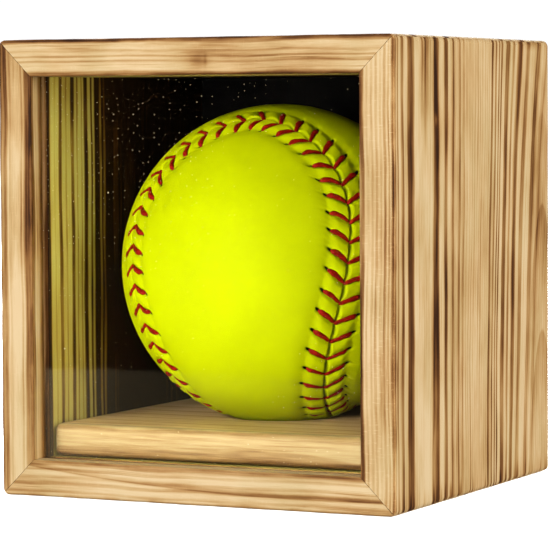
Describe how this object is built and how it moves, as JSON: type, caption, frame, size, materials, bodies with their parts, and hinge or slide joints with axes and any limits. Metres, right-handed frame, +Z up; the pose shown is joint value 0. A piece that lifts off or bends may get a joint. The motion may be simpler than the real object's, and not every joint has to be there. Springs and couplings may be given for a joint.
{
  "type": "shadow box",
  "caption": "Mitred pine shadow box with a fixed clear front and a magnetic pull-out tray that carries a stitched softball on a dished base board.",
  "frame": {"origin": "centre of the footprint, on the surface that the case stands on", "axes": "+Z up, the clear front faces -Y, +X to the right seen from the front"},
  "size_m": [0.127, 0.119, 0.134],
  "materials": {
    "torched_pine": "torched pine, brown growth rings, satin clear coat",
    "base_pine": "pale sanded pine, satin",
    "clear_acrylic": "clear polished acrylic sheet",
    "black_board": "matt black painted fibreboard",
    "black_knob": "black satin lacquer",
    "screw_steel": "zinc-plated steel",
    "nickel_plate": "nickel plated",
    "optic_yellow_cover": "optic yellow synthetic leather, satin",
    "ball_core_foam": "moulded polyurethane core",
    "red_thread": "waxed dark red thread"
  },
  "bodies": {
    "case": {"left_board": "torched_pine", "right_board": "torched_pine", "top_board": "torched_pine", "bottom_board": "torched_pine", "front_pane": "clear_acrylic", "case_magnet_left_lower": "nickel_plate", "case_magnet_left_upper": "nickel_plate", "case_magnet_right_lower": "nickel_plate", "case_magnet_right_upper": "nickel_plate"},
    "tray": {"base_board": "base_pine", "back_panel": "black_board", "panel_screw_left": "screw_steel", "panel_screw_right": "screw_steel", "pull_knob": "black_knob", "knob_screw": "screw_steel", "knob_washer": "screw_steel", "panel_magnet_left_lower": "nickel_plate", "panel_magnet_left_upper": "nickel_plate", "panel_magnet_right_lower": "nickel_plate", "panel_magnet_right_upper": "nickel_plate"},
    "ball": {"ball_cover_a": "optic_yellow_cover", "ball_cover_b": "optic_yellow_cover", "ball_core": "ball_core_foam", "seam_thread": "red_thread"}
  },
  "joints": [
    {"name": "tray_slide", "type": "slide", "parent": "case", "child": "tray", "axis": [0, 1, 0], "range_m": [0, 0.125]},
    {"name": "ball_turn", "type": "hinge", "parent": "tray", "child": "ball", "pos_m": [0, -0.0002, 0.0664], "axis": [0, 0, 1], "continuous": true}
  ]
}
